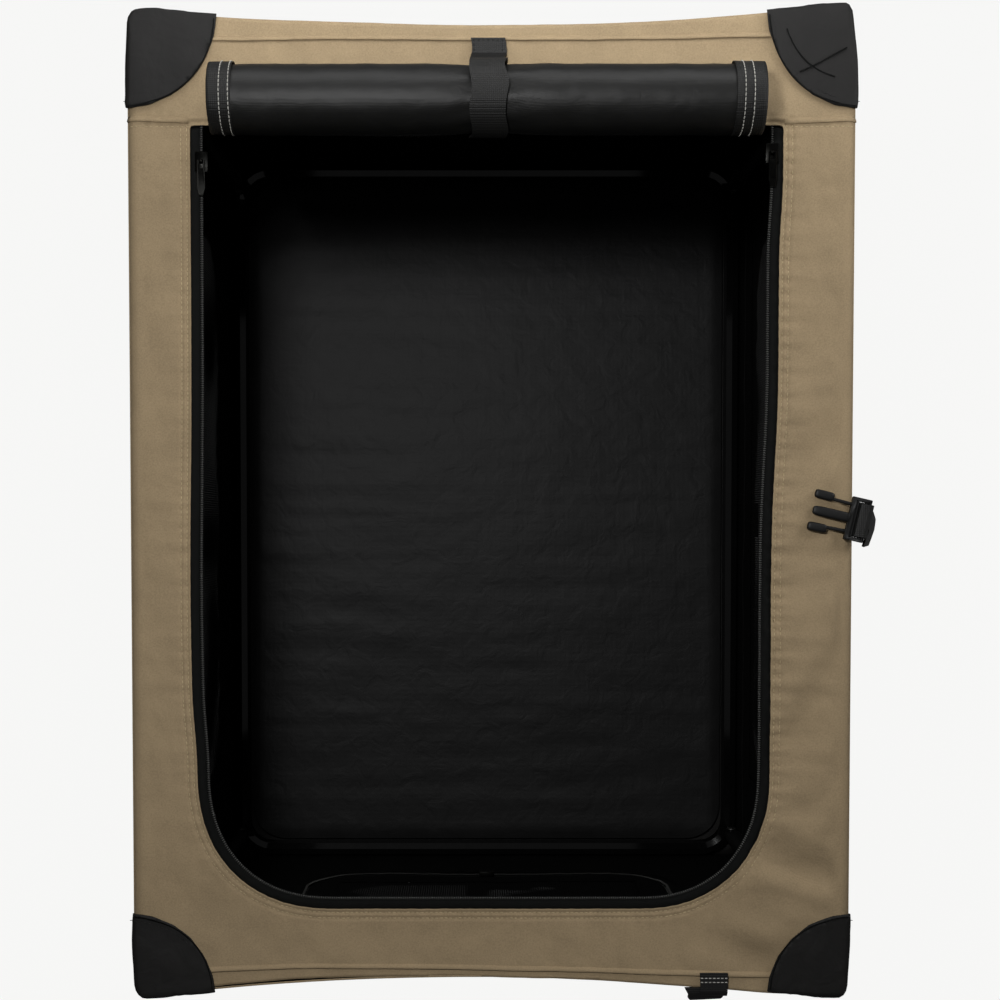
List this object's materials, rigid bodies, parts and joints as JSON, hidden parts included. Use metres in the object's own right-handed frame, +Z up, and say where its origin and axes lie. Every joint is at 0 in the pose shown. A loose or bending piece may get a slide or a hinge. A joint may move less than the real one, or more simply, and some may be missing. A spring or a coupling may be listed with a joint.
{
  "type": "soft folding dog crate",
  "caption": "Soft-sided fabric dog crate on a fold-flat tube frame, with mesh windows, a zipped front door and a zipped top door rolled open under a strap.",
  "frame": {"origin": "middle of the base's underside, where the crate stands on the floor", "axes": "+Z up, +Y towards the end where the top door is rolled up, +X towards the side with the closure buckle"},
  "size_m": [0.5327, 0.7144, 0.5723],
  "materials": {
    "tan_canvas": "woven, matte",
    "black_canvas": "woven, matte",
    "lining": "coated, slightly shiny",
    "webbing": "ribbed, matte",
    "window_mesh": "open mesh",
    "zip_tape": "woven, matte",
    "black_steel": "gloss enamel",
    "black_nickel": "black nickel plate",
    "zinc": "zinc-plated",
    "black_plastic": "moulded",
    "grey_mat": "coated, dull"
  },
  "bodies": {
    "base": {"base_ring": "black_steel", "left_front_hip_rivet": "zinc", "left_rear_hip_rivet": "zinc", "right_front_hip_rivet": "zinc", "right_rear_hip_rivet": "zinc", "floor_panel": "black_canvas", "floor_mat": "grey_mat", "left_skirt": "tan_canvas", "right_skirt": "tan_canvas", "front_wall": "tan_canvas", "front_zip_tape": "zip_tape", "back_wall": "tan_canvas", "back_window": "window_mesh", "base_front_left_cap": "black_canvas", "base_front_right_cap": "black_canvas", "base_rear_left_cap": "black_canvas", "base_rear_right_cap": "black_canvas", "closure_strap": "webbing", "closure_socket": "black_plastic"},
    "left_lower": {"left_front_lower_post": "black_steel", "left_rear_lower_post": "black_steel", "left_lower_wall": "tan_canvas", "left_lower_window": "window_mesh"},
    "left_upper": {"left_upper_hoop": "black_steel", "left_upper_wall": "tan_canvas", "left_upper_window": "window_mesh", "left_front_knee_rivet": "zinc", "left_rear_knee_rivet": "zinc"},
    "right_lower": {"right_front_lower_post": "black_steel", "right_rear_lower_post": "black_steel", "right_lower_wall": "tan_canvas", "right_lower_window": "window_mesh"},
    "right_upper": {"right_upper_hoop": "black_steel", "right_upper_wall": "tan_canvas", "right_upper_window": "window_mesh", "right_front_knee_rivet": "zinc", "right_rear_knee_rivet": "zinc"},
    "top_deck": {"top_panel": "tan_canvas", "top_front_left_cap": "black_canvas", "top_front_right_cap": "black_canvas", "top_rear_left_cap": "black_canvas", "top_rear_right_cap": "black_canvas", "top_zip_tape": "zip_tape", "top_door_roll": "lining", "roll_strap": "webbing", "left_bar_sleeve": "black_canvas", "right_bar_sleeve": "black_canvas", "closure_plug": "black_plastic", "closure_plug_strap": "webbing", "front_tie_loop": "webbing"},
    "door": {"front_door": "tan_canvas", "front_door_window": "window_mesh"},
    "left_zip": {"top_left_slider": "black_nickel"},
    "left_zip_pull": {"top_left_pull": "black_nickel"},
    "right_zip": {"top_right_slider": "black_nickel"},
    "right_zip_pull": {"top_right_pull": "black_nickel"},
    "front_zip": {"front_slider": "black_nickel"},
    "front_zip_pull": {"front_pull": "black_nickel"}
  },
  "joints": [
    {"name": "fold", "type": "hinge", "parent": "base", "child": "left_lower", "pos_m": [-0.2484, 0, 0.03], "axis": [0, 1, 0], "range_deg": [0, 84], "deforming": ["front_wall", "front_zip_tape", "back_wall", "back_window", "front_door", "front_door_window", "left_lower_wall", "left_lower_window", "right_lower_wall", "right_lower_window", "left_upper_wall", "left_upper_window", "right_upper_wall", "right_upper_window", "top_front_left_cap", "top_front_right_cap", "top_rear_left_cap", "top_rear_right_cap"]},
    {"name": "left_knee", "type": "hinge", "parent": "left_lower", "child": "left_upper", "pos_m": [-0.2504, 0, 0.26945], "axis": [0, 1, 0], "range_deg": [-168, 0]},
    {"name": "left_bar", "type": "hinge", "parent": "left_upper", "child": "top_deck", "pos_m": [-0.2484, 0, 0.5089], "axis": [0, 1, 0], "range_deg": [0, 84]},
    {"name": "right_hip", "type": "hinge", "parent": "base", "child": "right_lower", "pos_m": [0.2484, 0, 0.03], "axis": [0, 1, 0], "range_deg": [-84, 0]},
    {"name": "right_knee", "type": "hinge", "parent": "right_lower", "child": "right_upper", "pos_m": [0.2504, 0, 0.26945], "axis": [0, 1, 0], "range_deg": [0, 168]},
    {"name": "front_door_hinge", "type": "hinge", "parent": "top_deck", "child": "door", "pos_m": [0, -0.34547, 0.4535], "axis": [1, 0, 0], "range_deg": [-110, 0]},
    {"name": "left_zip_slide", "type": "slide", "parent": "top_deck", "child": "left_zip", "axis": [0, -1, 0], "range_m": [0, 0.42]},
    {"name": "left_zip_pull_hinge", "type": "hinge", "parent": "left_zip", "child": "left_zip_pull", "pos_m": [-0.2058, 0.244, 0.5219], "axis": [-1, 0, 0], "range_deg": [0, 100]},
    {"name": "right_zip_slide", "type": "slide", "parent": "top_deck", "child": "right_zip", "axis": [0, -1, 0], "range_m": [0, 0.42]},
    {"name": "right_zip_pull_hinge", "type": "hinge", "parent": "right_zip", "child": "right_zip_pull", "pos_m": [0.1988, 0.25, 0.5219], "axis": [-1, 0, 0], "range_deg": [0, 100]},
    {"name": "front_zip_slide", "type": "slide", "parent": "base", "child": "front_zip", "axis": [1, 0, 0], "range_m": [-0.1, 0.1]},
    {"name": "front_zip_pull_hinge", "type": "hinge", "parent": "front_zip", "child": "front_zip_pull", "pos_m": [0, -0.3536, 0.1082], "axis": [0, 0, -1], "range_deg": [0, 110]}
  ],
  "couplings": [
    {"joint": "left_knee", "follows": "fold", "ratio": -2},
    {"joint": "left_bar", "follows": "fold", "ratio": 1},
    {"joint": "right_hip", "follows": "fold", "ratio": -1},
    {"joint": "right_knee", "follows": "fold", "ratio": 2}
  ]
}
